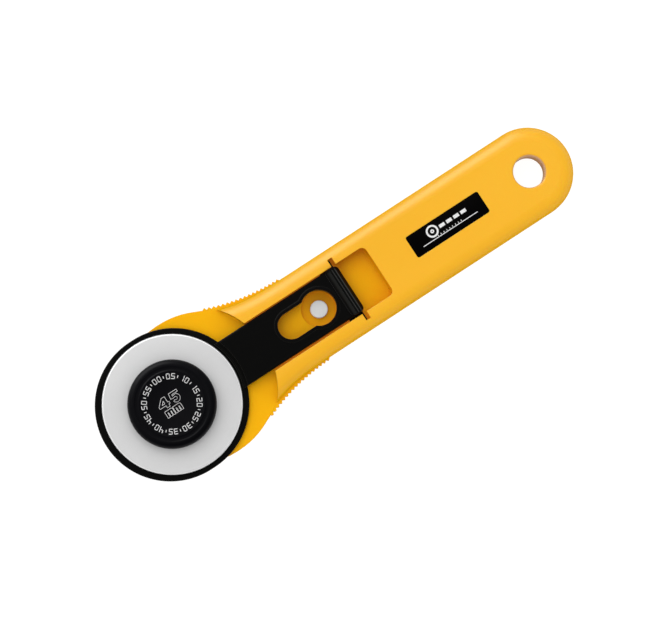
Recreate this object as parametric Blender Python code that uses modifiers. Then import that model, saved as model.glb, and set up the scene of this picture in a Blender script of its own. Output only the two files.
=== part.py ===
"""A 45 mm rotary cutter with a straight handle, lying on its back with the blade side up.

World frame: +X runs along the handle from the blade to the hanging hole, +Z out of the front.
Every piece is drawn in millimetres from the bolt axis, and its object's origin is on that axis.
"""

import math

import bmesh
import bpy
from mathutils import Matrix

MM = 0.001
GAP = 0.3  # between neighbouring pieces

# Heights above the flat back of the handle
COVER_TOP = 2.6
BODY_BOTTOM = COVER_TOP + GAP
FLOOR = 5.3  # front of the paddle and floor of the channel
FACE = 10.0  # front face of the handle
GUARD_BOTTOM = FLOOR + GAP
DISC_TOP = 7.0
ARM_TOP = 9.3
BLADE_BOTTOM = DISC_TOP + GAP
BLADE_TOP = BLADE_BOTTOM + 0.3
NUT_BOTTOM = BLADE_TOP + GAP
NUT_TOP = 12.9

# Outline of the handle, x from the bolt axis and half widths
PADDLE_FRONT = -13.0
PADDLE_X = 9.0
PADDLE_HALF = 23.8
SHOULDER_X = 10.0
SHOULDER_R = 27.1
WAIST_X = 22.0
WAIST_SLOPE = -0.47
GRIP_X = 52.0
GRIP_HALF = 14.7
TAIL_X = 135.8
EDGE_ROUND = 4.6
BACK_ROUND = 1.7

# Serrated bands that stand out from both edges of the waist
TEETH = 18
TOOTH_PITCH = 1.43
TOOTH_START = 25.2  # middle of the first tooth
TOOTH_DEPTH = 0.66
TOOTH_HALF = 0.66
BAND_PROUD = 0.7
BAND_TOP = 5.2
BAND_BOTTOM = 0.6
BAND_INSET = 0.1  # keeps the band off the parting line
BAND_ROOT = 2.2
WAIST_INSET = 0.8  # how far the waist stands back behind the bands

# Step from the low paddle up to the raised face
STEP_X = 7.2
STEP_R = 27.5

# Channel, thumb pocket, side gates and the slots that hold the guard down
CHANNEL_HALF = 9.0
CHANNEL_FRONT = 15.0
POCKET_END = 78.5
POCKET_CORNER = 1.8
POCKET_FILLET = 1.9
UNDERCUT_FRONT = 61.5
UNDERCUT_END = 78.0
UNDERCUT_HALF = 11.6
UNDERCUT_TOP = 7.4
GATE_FRONT = 66.25
GATE_END = 67.9
GATE_HALF = 11.45

# Rivet, hanging hole, name plate
RIVET_X = 55.8
RIVET_HEAD_R = 2.85
RIVET_SHANK_R = 1.6
RECESS_R = 5.8
RECESS_FLOOR = 3.9
HANG_X = 136.0
HANG_R = 5.15
HANG_ROUND = 0.8
PLATE_X = 104.7
PLATE_LENGTH = 26.9
PLATE_WIDTH = 7.2
PLATE_THICK = 0.5
PLATE_CORNER = 0.4

# Cores in the back of the handle body
CORE_FRONT = 84.0
CORE_LENGTH = 13.0
CORE_PITCH = 14.5
CORE_WIDTH = 8.7
CORE_RIB = 1.5
CORE_TOP = 8.2

# Guard
DISC_X = -0.7  # middle of the front half of the disc
DISC_REAR_X = 0.5  # middle of the rear half
DISC_R = 24.1
TRAVEL = 9.5
SLOT_HALF = 4.1
ARM_HALF = 8.43
ARM_Y = 0.25  # the arm sits a little to one side within its play
ARM_END = 67.9
ARM_CORNER = 1.3
ARM_EDGE = 0.45
STEP_INNER = 23.2
STEP_OUTER = 24.6
KEY_FRONT = 45.4
KEY_SLOT_R = 4.4
KEY_BIG_X = 55.75
KEY_BIG_R = 5.75
LIP = 1.1
LIP_TOP = 9.5
EAR_FRONT = 61.9
EAR_END = 66.9
EAR_HALF = 11.2
RIB_FRONT = 63.2
RIB_RIDGE = 65.75
RIB_END = 67.9
RIB_HALF = 8.35
RIB_TOP = 11.2
RIB_CORNER = 1.5
RIB_PITCH = 1.0
RIB_GROOVE_DEPTH = 0.4

# Blade, washer, bolt and nut
BLADE_R = 22.5
BLADE_BEVEL = 0.6
BLADE_EDGE = 0.06
HOLE_R = 4.0
NECK_R = 3.7
NECK_FLAT = 3.1
NECK_TOP = 9.0
HEAD_R = 7.5
BOLT_HEAD_BOTTOM = 0.3
BOLT_HEAD_TOP = 1.8
BOLT_TOP = 11.6
THREAD_R = 3.0
THREAD_ROOT = 2.5
PITCH = 1.0
WASHER_R = 9.2
WASHER_THICK = 0.4
WASHER_ARCH = 0.5
NUT_R = 14.2
NUT_ROUND = 2.0
NUT_WELL_R = 10.6
NUT_WELL_TOP = 9.2
INSERT_BOTTOM = 9.5
INSERT_TOP = 11.7
INSERT_R = 5.0

FRONT_X = DISC_X - DISC_R
END_X = TAIL_X + GRIP_HALF
SHIFT = -(FRONT_X + END_X) / 2 * MM  # the origin is under the middle of the whole object

for old in list(bpy.data.objects):
    bpy.data.objects.remove(old, do_unlink=True)

PARTS = bpy.data.collections.new("rotary_cutter")
CUTTERS = bpy.data.collections.new("cutters")
CUTTERS.hide_render = True
for made in (PARTS, CUTTERS):
    bpy.context.scene.collection.children.link(made)


def material(name, colour, roughness, metallic=0.0):
    mat = bpy.data.materials.new(name)
    mat.use_nodes = True
    shader = mat.node_tree.nodes["Principled BSDF"]
    shader.inputs["Base Color"].default_value = (*colour, 1.0)
    shader.inputs["Roughness"].default_value = roughness
    shader.inputs["Metallic"].default_value = metallic
    return mat


def place(name, bm, mat=None, y=0.0):
    """Turns a bmesh in millimetres into an object whose origin is on the bolt axis."""
    bmesh.ops.translate(bm, verts=bm.verts, vec=(0.0, y, 0.0))
    bmesh.ops.scale(bm, vec=(MM, MM, MM), verts=bm.verts)
    bmesh.ops.recalc_face_normals(bm, faces=bm.faces)
    mesh = bpy.data.meshes.new(name)
    bm.to_mesh(mesh)
    bm.free()
    obj = bpy.data.objects.new(name, mesh)
    obj.location = (SHIFT, 0.0, 0.0)
    if mat is None:
        CUTTERS.objects.link(obj)
        obj.hide_render = True
        obj.display_type = "WIRE"
    else:
        PARTS.objects.link(obj)
        mesh.materials.append(mat)
    return obj


def combine(obj, tool, operation="DIFFERENCE"):
    mod = obj.modifiers.new(tool.name, "BOOLEAN")
    mod.operation = operation
    mod.solver = "EXACT"
    mod.object = tool


def smooth(obj, angle=30.0):
    """Shades the finished surface smooth, except across edges sharper than the angle."""
    for poly in obj.data.polygons:
        poly.use_smooth = True
    obj.data.set_sharp_from_angle(angle=math.radians(angle))


def arc(cx, cy, radius, start, end, steps):
    """Points from start to end degrees about a centre."""
    turn = [math.radians(start + (end - start) * i / steps) for i in range(steps + 1)]
    return [(cx + radius * math.cos(a), cy + radius * math.sin(a)) for a in turn]


def prism(bm, points, z0, z1):
    """Fills an outline and extrudes it from z0 to z1. Returns the edges around the top and bottom."""
    verts = [bm.verts.new((x, y, z0)) for x, y in points]
    loop = [bm.edges.new(pair) for pair in zip(verts, verts[1:] + verts[:1])]
    face = bmesh.ops.edgenet_fill(bm, edges=loop)["faces"][0]
    rim_low = list(face.edges)
    raised = bmesh.ops.extrude_face_region(bm, geom=[face], use_keep_orig=True)["geom"]
    tops = [v for v in raised if isinstance(v, bmesh.types.BMVert)]
    bmesh.ops.translate(bm, verts=tops, vec=(0.0, 0.0, z1 - z0))
    lid = [f for f in raised if isinstance(f, bmesh.types.BMFace)][0]
    return list(lid.edges), rim_low


def rounded(bm, edges, width, segments):
    bmesh.ops.bevel(bm, geom=edges, offset=width, segments=segments, profile=0.5, affect="EDGES")


def box(bm, x0, x1, y0, y1, z0, z1):
    size = Matrix.Diagonal((x1 - x0, y1 - y0, z1 - z0, 1.0))
    centre = Matrix.Translation(((x0 + x1) / 2, (y0 + y1) / 2, (z0 + z1) / 2))
    return bmesh.ops.create_cube(bm, size=1.0, matrix=centre @ size)["verts"]


def cylinder(bm, x, y, radius, z0, z1, segments=48):
    centre = Matrix.Translation((x, y, (z0 + z1) / 2))
    bmesh.ops.create_cone(
        bm, cap_ends=True, segments=segments, radius1=radius, radius2=radius,
        depth=z1 - z0, matrix=centre,
    )


def turned(name, profile, steps, mat=None, x=0.0, closed=False):
    """Turns a profile of (radius, z) about the vertical axis at x, from top to bottom on its outside."""
    bm = bmesh.new()
    verts = [bm.verts.new((r * MM, 0.0, z * MM)) for r, z in profile]
    pairs = list(zip(verts, verts[1:]))
    if closed:
        pairs.append((verts[-1], verts[0]))
    for a, b in pairs:
        bm.edges.new((a, b))
    mesh = bpy.data.meshes.new(name)
    bm.to_mesh(mesh)
    bm.free()
    obj = bpy.data.objects.new(name, mesh)
    PARTS.objects.link(obj)
    screw = obj.modifiers.new("turn", "SCREW")
    screw.steps = steps
    screw.render_steps = steps
    screw.use_merge_vertices = True
    screw.merge_threshold = 1e-5
    solid = bmesh.new()
    solid.from_mesh(bpy.data.meshes.new_from_object(evaluated(obj)))
    bpy.data.objects.remove(obj, do_unlink=True)
    bmesh.ops.remove_doubles(solid, verts=solid.verts, dist=1e-6)
    bmesh.ops.translate(solid, verts=solid.verts, vec=(x * MM, 0.0, 0.0))
    bmesh.ops.scale(solid, vec=(1 / MM, 1 / MM, 1 / MM), verts=solid.verts)
    return place(name, solid, mat)


def evaluated(obj):
    return obj.evaluated_get(bpy.context.evaluated_depsgraph_get())


def ease(t):
    t = min(max(t, 0.0), 1.0)
    return t * t * (3 - 2 * t)


def side_half(x):
    """Half width of the handle behind the paddle's widest point."""
    if x <= SHOULDER_X:
        return PADDLE_HALF
    if x <= WAIST_X:
        across = x - SHOULDER_X
        return PADDLE_HALF - SHOULDER_R + math.sqrt(SHOULDER_R**2 - across**2)
    waist = side_half(WAIST_X)
    span = GRIP_X - WAIST_X
    t = min((x - WAIST_X) / span, 1.0)
    return waist + (GRIP_HALF - waist) * ease(t) + WAIST_SLOPE * span * t * (1 - t) ** 2


def inset_half(x):
    """Half width of the handle itself, which stands back behind the serrated bands."""
    grow = ease((x - tooth_x(0)) / (2 * TOOTH_PITCH))
    fade = 1 - ease((x - tooth_x(4)) / (tooth_x(TEETH) - tooth_x(4)))
    return side_half(x) - WAIST_INSET * grow * fade


def handle_outline():
    """The whole outline, anticlockwise, drawn from the paddle's tip round the tail and back."""
    upper = []
    for i in range(1, 15):
        turn = math.pi / 2 * i / 14
        length = PADDLE_X - PADDLE_FRONT
        x = PADDLE_X - length * math.cos(turn)
        upper.append((x, PADDLE_HALF * math.sin(turn)))
    xs = [SHOULDER_X + 2.0 * i for i in range(7)]
    xs += [WAIST_X + 2.0 * i for i in range(1, 16)]
    upper += [(x, inset_half(x)) for x in xs]
    tail = arc(TAIL_X, 0.0, GRIP_HALF, 90, -90, 32)
    lower = [(x, -y) for x, y in reversed(upper)]
    points = upper + tail + lower + [(PADDLE_FRONT, 0.0)]
    points.reverse()
    return points


def tooth_x(i):
    """Where notch i is cut: the teeth stand between one notch and the next."""
    return TOOTH_START + (i - 0.5) * TOOTH_PITCH


def serrated_band(name, z0, z1):
    """Two bands that follow the edges of the waist and stand a little proud of them."""
    bm = bmesh.new()
    for side in (1, -1):
        xs = [tooth_x(i) for i in range(TEETH + 1)]
        outer = [(x, side * (side_half(x) + BAND_PROUD)) for x in xs]
        inner = [(x, side * (side_half(x) - BAND_ROOT)) for x in reversed(xs)]
        prism(bm, outer + inner, z0, z1)
    return place(name, bm)


def serration_cutter():
    """Upright diamond bars along both bands; each leaves a notch between two teeth."""
    bm = bmesh.new()
    for side in (1, -1):
        for i in range(TEETH + 1):
            x = tooth_x(i)
            slope = (side_half(x + 0.1) - side_half(x - 0.1)) / 0.2
            turn = Matrix.Rotation(side * math.atan(slope), 4, "Z")
            where = Matrix.Translation((x, side * (side_half(x) + BAND_PROUD), 0.0))
            size = Matrix.Diagonal((TOOTH_HALF, TOOTH_DEPTH, 1.0, 1.0))
            bmesh.ops.create_cone(
                bm, cap_ends=True, segments=4, radius1=1.0, radius2=1.0,
                depth=FACE * 3, matrix=where @ turn @ size,
            )
    return place("cut_serrations", bm)


def double_d(name, radius, flat, z0, z1, mat=None):
    """A round bar with two flats facing +Y and -Y."""
    low = math.degrees(math.asin(flat / radius))
    points = arc(0.0, 0.0, radius, -low, low, 12)
    points += arc(0.0, 0.0, radius, 180 - low, 180 + low, 12)
    bm = bmesh.new()
    prism(bm, points, z0, z1)
    return place(name, bm, mat)


def hang_hole_cutter():
    """A round bar that flares at both faces, so that both rims come out rounded."""
    flare = [
        (HANG_R + HANG_ROUND * (1 - math.cos(a)), HANG_ROUND * (1 - math.sin(a)))
        for a in (math.pi / 2 * i / 4 for i in range(5))
    ]
    over = 1.0
    widest = HANG_R + HANG_ROUND
    top = [(widest, FACE + over), (widest, FACE)] + [(r, FACE - d) for r, d in flare[:-1][::-1]]
    bottom = [(r, d) for r, d in flare[:-1]] + [(widest, 0.0), (widest, -over)]
    profile = [(0.0, FACE + over)] + top + bottom + [(0.0, -over)]
    return turned("cut_hanging_hole", profile, 48, x=HANG_X)


def step_cutter():
    """Everything in front of the arc step and above the paddle's face."""
    reach = 60.0
    points = arc(STEP_X, 0.0, STEP_R, -90, 90, 40)
    points += [(STEP_X, reach), (-reach, reach), (-reach, -reach), (STEP_X, -reach)]
    bm = bmesh.new()
    prism(bm, points, FLOOR, FACE + 5)
    return place("cut_step", bm)


def channel_cutter():
    """The channel that the guard's arm slides in, with the thumb pocket at its end."""
    corner = POCKET_CORNER
    y = CHANNEL_HALF - corner
    x = POCKET_END - corner
    points = [(CHANNEL_FRONT, -CHANNEL_HALF)]
    points += arc(x, -y, corner, -90, 0, 6)
    points += arc(x, y, corner, 0, 90, 6)
    points += [(CHANNEL_FRONT, CHANNEL_HALF)]
    bm = bmesh.new()
    _, low = prism(bm, points, FLOOR, FACE + 5)
    rear = [e for e in low if min(v.co.x for v in e.verts) > x + 0.1]
    rounded(bm, rear, POCKET_FILLET, 4)
    return place("cut_channel", bm)


def undercut_cutter():
    bm = bmesh.new()
    box(bm, UNDERCUT_FRONT, UNDERCUT_END, -UNDERCUT_HALF, UNDERCUT_HALF, FLOOR, UNDERCUT_TOP)
    return place("cut_undercut", bm)


def gate_cutter():
    bm = bmesh.new()
    box(bm, GATE_FRONT, GATE_END, -GATE_HALF, GATE_HALF, FLOOR + 0.1, FACE + 5)
    return place("cut_gates", bm)


def plate_outline(grow):
    half_x = PLATE_LENGTH / 2 + grow
    half_y = PLATE_WIDTH / 2 + grow
    corner = PLATE_CORNER + grow
    points = []
    for i, (sx, sy) in enumerate(((1, 1), (-1, 1), (-1, -1), (1, -1))):
        cx = PLATE_X + sx * (half_x - corner)
        cy = sy * (half_y - corner)
        points += arc(cx, cy, corner, 90 * i, 90 * i + 90, 4)
    return points


def plate_cutter():
    bm = bmesh.new()
    prism(bm, plate_outline(GAP), FACE - PLATE_THICK - GAP, FACE + 2)
    return place("cut_plate", bm)


def core_cutter():
    """Six square cores with ribs between them, open to the back cover."""
    bm = bmesh.new()
    for i in range(3):
        x = CORE_FRONT + i * CORE_PITCH
        for side in (1, -1):
            inner = side * CORE_RIB / 2
            outer = side * (CORE_RIB / 2 + CORE_WIDTH)
            low, high = sorted((inner, outer))
            box(bm, x, x + CORE_LENGTH, low, high, COVER_TOP - 1, CORE_TOP)
    return place("cut_cores", bm)


def handle_body(mat, tools):
    bm = bmesh.new()
    top, _ = prism(bm, handle_outline(), BODY_BOTTOM, FACE)
    rounded(bm, top, EDGE_ROUND, 8)
    obj = place("handle_body", bm, mat)
    combine(obj, serrated_band("tool_body_bands", BODY_BOTTOM + BAND_INSET, BAND_TOP), "UNION")
    for tool in tools:
        combine(obj, tool)
    bm = bmesh.new()
    cylinder(bm, RIVET_X, 0.0, RECESS_R, RECESS_FLOOR, FACE)
    combine(obj, place("cut_recess", bm))
    bm = bmesh.new()
    cylinder(bm, RIVET_X, 0.0, RIVET_SHANK_R + GAP, 0.0, FACE, 24)
    combine(obj, place("cut_rivet_hole", bm))
    return obj


def handle_back_cover(mat, tools):
    bm = bmesh.new()
    _, bottom = prism(bm, handle_outline(), 0.0, COVER_TOP)
    rounded(bm, bottom, BACK_ROUND, 3)
    obj = place("handle_back_cover", bm, mat)
    combine(obj, serrated_band("tool_cover_bands", BAND_BOTTOM, COVER_TOP - BAND_INSET), "UNION")
    for tool in tools:
        combine(obj, tool)
    bm = bmesh.new()
    cylinder(bm, 0.0, 0.0, HEAD_R + GAP, -1.0, BOLT_HEAD_TOP + GAP, 64)
    cylinder(bm, RIVET_X, 0.0, RIVET_HEAD_R + GAP, -1.0, 1.3, 32)
    combine(obj, place("cut_head_wells", bm))
    bm = bmesh.new()
    cylinder(bm, RIVET_X, 0.0, RIVET_SHANK_R + GAP, -2.0, FACE, 24)
    combine(obj, place("cut_cover_rivet_hole", bm))
    return obj


def handle_rivet(mat):
    """A round-headed rivet, closed over on the back."""
    head = RIVET_HEAD_R
    top = RECESS_FLOOR + GAP + 0.8
    under = RECESS_FLOOR + GAP
    profile = [(0.0, top), (head - 0.2, top), (head, top - 0.2)]
    profile += [(head, under), (RIVET_SHANK_R, under), (RIVET_SHANK_R, 1.0)]
    profile += [(head, 1.0), (head, 0.6), (head - 0.3, 0.3), (0.0, 0.3)]
    return turned("handle_rivet", profile, 32, mat, x=RIVET_X)


def name_plate(mat):
    bm = bmesh.new()
    prism(bm, plate_outline(0.0), FACE - PLATE_THICK, FACE)
    return place("name_plate", bm, mat)


def key_outline(grow):
    """Keyhole: a narrow slot that runs back into a larger circle."""
    slot = KEY_SLOT_R + grow
    big = KEY_BIG_R + grow
    meet = math.degrees(math.asin(slot / big))
    points = arc(KEY_FRONT, 0.0, slot, 90, 270, 16)
    points += arc(KEY_BIG_X, 0.0, big, -180 + meet, 180 - meet, 36)
    return points


def guard_step_cutter():
    """Clears the blade's sweep above the disc, rising to the arm in two arc steps."""
    over = ARM_TOP + 4
    middle = DISC_TOP + 0.9
    profile = [(0.0, over), (STEP_OUTER + 0.2, over), (STEP_OUTER + 0.2, ARM_TOP - 0.5)]
    profile += [(STEP_OUTER - 0.7, middle), (STEP_INNER + 0.1, middle - 0.1)]
    profile += [(STEP_INNER, DISC_TOP), (0.0, DISC_TOP)]
    return turned("cut_guard_step", profile, 144)


def guard_arm():
    """The arm: a straight bar with rounded corners at its end."""
    corner = ARM_CORNER
    half = ARM_HALF
    points = [(CHANNEL_FRONT, -half)]
    points += arc(ARM_END - corner, -half + corner, corner, -90, 0, 5)
    points += arc(ARM_END - corner, half - corner, corner, 0, 90, 5)
    points += [(CHANNEL_FRONT, half)]
    bm = bmesh.new()
    top, _ = prism(bm, points, GUARD_BOTTOM, ARM_TOP)
    rounded(bm, top, ARM_EDGE, 3)
    return place("tool_arm", bm, y=ARM_Y)


def thumb_rib():
    """A raised bar across the arm's end: a ramp up to a ridge, then grooves for the thumb."""
    corner = RIB_CORNER
    points = []
    for i, (sx, sy) in enumerate(((1, 1), (-1, 1), (-1, -1), (1, -1))):
        cx = (RIB_FRONT + RIB_END) / 2 + sx * ((RIB_END - RIB_FRONT) / 2 - corner)
        points += arc(cx, sy * (RIB_HALF - corner), corner, 90 * i, 90 * i + 90, 5)
    bm = bmesh.new()
    prism(bm, points, ARM_TOP - 1, RIB_TOP + 1)
    plan = place("tool_rib_plan", bm, y=ARM_Y)
    low = ARM_TOP - 0.8
    profile = [(RIB_FRONT - 0.5, low), (RIB_FRONT - 0.5, ARM_TOP + 0.25)]
    profile += [(RIB_FRONT + 0.3, ARM_TOP + 0.6), (RIB_FRONT + 0.9, RIB_TOP - 0.5)]
    profile += [(RIB_FRONT + 1.75, RIB_TOP - 0.15)]
    for i in range(2):
        x = RIB_RIDGE + i * RIB_PITCH
        profile += [(x - RIB_PITCH / 2, RIB_TOP - RIB_GROOVE_DEPTH)]
        profile += [(x - 0.12, RIB_TOP), (x + 0.12, RIB_TOP)]
    profile += [(x + RIB_PITCH / 2, RIB_TOP - RIB_GROOVE_DEPTH - 0.1)]
    profile += [(RIB_END - 0.15, RIB_TOP - 1.1), (RIB_END, RIB_TOP - 1.7), (RIB_END, low)]
    bm = bmesh.new()
    prism(bm, profile, -RIB_HALF - 1, RIB_HALF + 1)
    bmesh.ops.rotate(bm, verts=bm.verts, matrix=Matrix.Rotation(math.radians(90), 3, "X"))
    rib = place("tool_rib", bm)
    combine(rib, plan, "INTERSECT")
    return rib


def blade_guard(mat):
    points = arc(DISC_REAR_X, 0.0, DISC_R, -90, 90, 72)
    points += arc(DISC_X, 0.0, DISC_R, 90, 270, 72)
    bm = bmesh.new()
    rim, _ = prism(bm, points, GUARD_BOTTOM, DISC_TOP)
    rounded(bm, rim, 0.3, 2)
    obj = place("blade_guard", bm, mat)
    combine(obj, guard_arm(), "UNION")
    bm = bmesh.new()
    box(bm, EAR_FRONT, EAR_END, -EAR_HALF, EAR_HALF, GUARD_BOTTOM, DISC_TOP)
    combine(obj, place("tool_ears", bm), "UNION")
    bm = bmesh.new()
    top, _ = prism(bm, key_outline(LIP), ARM_TOP - 1, LIP_TOP)
    rounded(bm, top, 0.15, 2)
    combine(obj, place("tool_lip", bm, y=ARM_Y), "UNION")
    combine(obj, thumb_rib(), "UNION")
    combine(obj, guard_step_cutter())
    bm = bmesh.new()
    prism(bm, key_outline(0.0), FLOOR - 1, RIB_TOP + 1)
    combine(obj, place("cut_keyhole", bm, y=ARM_Y))
    slot = arc(0.0, 0.0, SLOT_HALF, -90, 90, 12)
    slot += arc(-TRAVEL, 0.0, SLOT_HALF, 90, 270, 12)
    bm = bmesh.new()
    prism(bm, slot, FLOOR - 1, RIB_TOP)
    combine(obj, place("cut_bolt_slot", bm))
    return obj


def blade(mat):
    """A thin disc ground to an edge from both sides."""
    mid = (BLADE_BOTTOM + BLADE_TOP) / 2
    flat = BLADE_R - BLADE_BEVEL
    half_edge = BLADE_EDGE / 2
    profile = [(HOLE_R, BLADE_TOP), (flat, BLADE_TOP), (BLADE_R, mid + half_edge)]
    profile += [(BLADE_R, mid - half_edge), (flat, BLADE_BOTTOM), (HOLE_R, BLADE_BOTTOM)]
    return turned("blade", profile, 120, mat, closed=True)


def spring_washer(mat, key):
    """A dished strip of spring steel, arched along the handle, with a keyed hole."""
    rings = 5
    inner = 2.2
    radii = [inner + (WASHER_R - inner) * i / rings for i in range(rings + 1)]
    low = NUT_BOTTOM
    profile = [(r, low + WASHER_THICK) for r in radii] + [(r, low) for r in reversed(radii)]
    obj = turned("spring_washer", profile, 48, mat, closed=True)
    for vert in obj.data.vertices:
        vert.co.z += WASHER_ARCH * MM * (1 - (vert.co.x / (WASHER_R * MM)) ** 2)
    combine(obj, key)
    return obj


def thread_ridge(name, root, crest, z0, turns):
    """One helical V ridge, from root to crest radius, with closed ends."""
    bm = bmesh.new()
    half = PITCH * 0.42
    corners = [(root, half), (crest, 0.0), (root, -half)]
    verts = [bm.verts.new((r * MM, 0.0, (z0 + dz) * MM)) for r, dz in corners]
    for a, b in zip(verts, verts[1:] + verts[:1]):
        bm.edges.new((a, b))
    mesh = bpy.data.meshes.new(name)
    bm.to_mesh(mesh)
    bm.free()
    obj = bpy.data.objects.new(name, mesh)
    PARTS.objects.link(obj)
    screw = obj.modifiers.new("helix", "SCREW")
    screw.steps = 24
    screw.render_steps = 24
    screw.screw_offset = PITCH * MM
    screw.iterations = turns
    solid = bmesh.new()
    solid.from_mesh(bpy.data.meshes.new_from_object(evaluated(obj)))
    bpy.data.objects.remove(obj, do_unlink=True)
    bmesh.ops.remove_doubles(solid, verts=solid.verts, dist=1e-6)
    bmesh.ops.holes_fill(solid, edges=[e for e in solid.edges if e.is_boundary], sides=0)
    bmesh.ops.scale(solid, vec=(1 / MM, 1 / MM, 1 / MM), verts=solid.verts)
    return place(name, solid)


def pivot_bolt(mat):
    """Flat head at the back, a neck with two flats that keys into the handle, then a short thread."""
    profile = [(0.0, BOLT_TOP), (THREAD_ROOT - 0.3, BOLT_TOP), (THREAD_ROOT, BOLT_TOP - 0.3)]
    profile += [(THREAD_ROOT, NECK_TOP), (NECK_R, NECK_TOP), (NECK_R, BOLT_HEAD_TOP)]
    profile += [(HEAD_R, BOLT_HEAD_TOP), (HEAD_R, BOLT_HEAD_BOTTOM + 0.4)]
    profile += [(HEAD_R - 0.5, BOLT_HEAD_BOTTOM), (0.0, BOLT_HEAD_BOTTOM)]
    obj = turned("pivot_bolt", profile, 48, mat)
    bm = bmesh.new()
    for side in (1, -1):
        low, high = sorted((side * NECK_FLAT, side * (NECK_R + 1)))
        box(bm, -NECK_R - 1, NECK_R + 1, low, high, BOLT_HEAD_TOP, NECK_TOP + 0.001)
    combine(obj, place("cut_neck_flats", bm))
    combine(obj, thread_ridge("tool_thread", THREAD_ROOT - 0.1, THREAD_R, NECK_TOP + 0.8, 1), "UNION")
    return obj


def nut_insert(mat):
    """A hexagonal steel nut moulded into the knob."""
    bm = bmesh.new()
    cylinder(bm, 0.0, 0.0, INSERT_R, INSERT_BOTTOM, INSERT_TOP, 6)
    obj = place("nut_insert", bm, mat)
    bm = bmesh.new()
    cylinder(bm, 0.0, 0.0, THREAD_R + GAP, INSERT_BOTTOM - 1, INSERT_TOP + 1, 32)
    combine(obj, place("cut_insert_bore", bm))
    return obj


def nut_knob(mat):
    """A flat round knob with a soft edge, a shallow ring near its rim and a well underneath."""
    top = NUT_TOP
    profile = [(0.0, top), (10.6, top), (10.9, top - 0.25), (11.7, top - 0.25), (12.0, top - 0.15)]
    profile += [
        (NUT_R - NUT_ROUND + x, top - 0.2 - NUT_ROUND + z)
        for x, z in arc(0.0, 0.0, NUT_ROUND, 85, 0, 6)
    ]
    profile += [(NUT_R, NUT_BOTTOM + 0.4), (NUT_R - 0.4, NUT_BOTTOM)]
    profile += [(NUT_WELL_R, NUT_BOTTOM), (NUT_WELL_R, NUT_WELL_TOP), (0.0, NUT_WELL_TOP)]
    obj = turned("nut_knob", profile, 72, mat)
    bm = bmesh.new()
    grow = GAP / math.cos(math.radians(30))
    cylinder(bm, 0.0, 0.0, INSERT_R + grow, NUT_WELL_TOP - 1, INSERT_TOP + GAP, 6)
    combine(obj, place("cut_insert_pocket", bm))
    return obj


def build():
    yellow = material("yellow_plastic", (0.85, 0.50, 0.04), 0.42)
    yellow_back = material("yellow_back_plastic", (0.85, 0.50, 0.04), 0.45)
    black = material("guard_plastic", (0.014, 0.014, 0.015), 0.38)
    navy = material("nut_plastic", (0.012, 0.012, 0.018), 0.32)
    steel = material("blade_steel", (0.62, 0.62, 0.62), 0.28, 1.0)
    bolt_steel = material("bolt_steel", (0.55, 0.55, 0.56), 0.35, 1.0)
    spring_steel = material("spring_steel", (0.50, 0.50, 0.52), 0.35, 1.0)
    insert_steel = material("insert_steel", (0.52, 0.52, 0.53), 0.40, 1.0)
    rivet_steel = material("rivet_steel", (0.60, 0.60, 0.60), 0.35, 1.0)
    print_black = material("plate_plastic", (0.012, 0.012, 0.012), 0.45)

    key = double_d("cut_key", HOLE_R, NECK_FLAT + GAP, -1.0, FACE + 4)
    teeth = serration_cutter()
    hang = hang_hole_cutter()
    body_tools = [teeth, step_cutter(), channel_cutter(), undercut_cutter(), gate_cutter()]
    body_tools += [plate_cutter(), core_cutter(), hang, key]
    pieces = [
        handle_body(yellow, body_tools),
        handle_back_cover(yellow_back, [teeth, hang, key]),
        handle_rivet(rivet_steel),
        name_plate(print_black),
        blade_guard(black),
        blade(steel),
        spring_washer(spring_steel, key),
        pivot_bolt(bolt_steel),
        nut_insert(insert_steel),
        nut_knob(navy),
    ]
    for piece in pieces:
        smooth(piece)


build()
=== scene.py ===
"""Looks for the rotary cutter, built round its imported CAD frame.

Detailed pieces and prints are drawn in millimetres, as in the CAD source, and MM takes them to
metres. Materials, lights and camera work in metres. X runs along the handle, Y across it and Z up
from its back.
"""

import math

import bmesh
import bpy
from mathutils import Matrix, Vector


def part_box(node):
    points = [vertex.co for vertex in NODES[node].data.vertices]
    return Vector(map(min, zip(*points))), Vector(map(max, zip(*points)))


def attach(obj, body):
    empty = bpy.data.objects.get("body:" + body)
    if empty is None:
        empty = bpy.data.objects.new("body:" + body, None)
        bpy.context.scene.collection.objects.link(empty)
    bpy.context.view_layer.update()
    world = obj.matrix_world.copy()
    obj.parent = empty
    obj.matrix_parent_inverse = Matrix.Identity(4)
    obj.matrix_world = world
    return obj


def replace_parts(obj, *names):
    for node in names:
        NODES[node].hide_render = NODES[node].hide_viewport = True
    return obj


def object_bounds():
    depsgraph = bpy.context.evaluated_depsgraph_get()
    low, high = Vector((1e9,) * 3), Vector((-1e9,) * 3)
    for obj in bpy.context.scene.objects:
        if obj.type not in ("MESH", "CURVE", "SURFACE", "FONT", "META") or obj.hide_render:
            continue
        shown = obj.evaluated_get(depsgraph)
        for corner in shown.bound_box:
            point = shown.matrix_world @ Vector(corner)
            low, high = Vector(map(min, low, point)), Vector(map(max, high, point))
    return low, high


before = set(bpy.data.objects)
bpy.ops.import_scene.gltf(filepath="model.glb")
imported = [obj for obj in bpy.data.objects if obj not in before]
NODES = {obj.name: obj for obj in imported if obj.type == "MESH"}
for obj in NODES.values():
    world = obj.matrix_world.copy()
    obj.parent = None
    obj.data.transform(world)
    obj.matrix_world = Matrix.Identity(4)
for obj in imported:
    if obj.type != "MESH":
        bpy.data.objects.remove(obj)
cad_low, cad_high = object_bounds()

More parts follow.
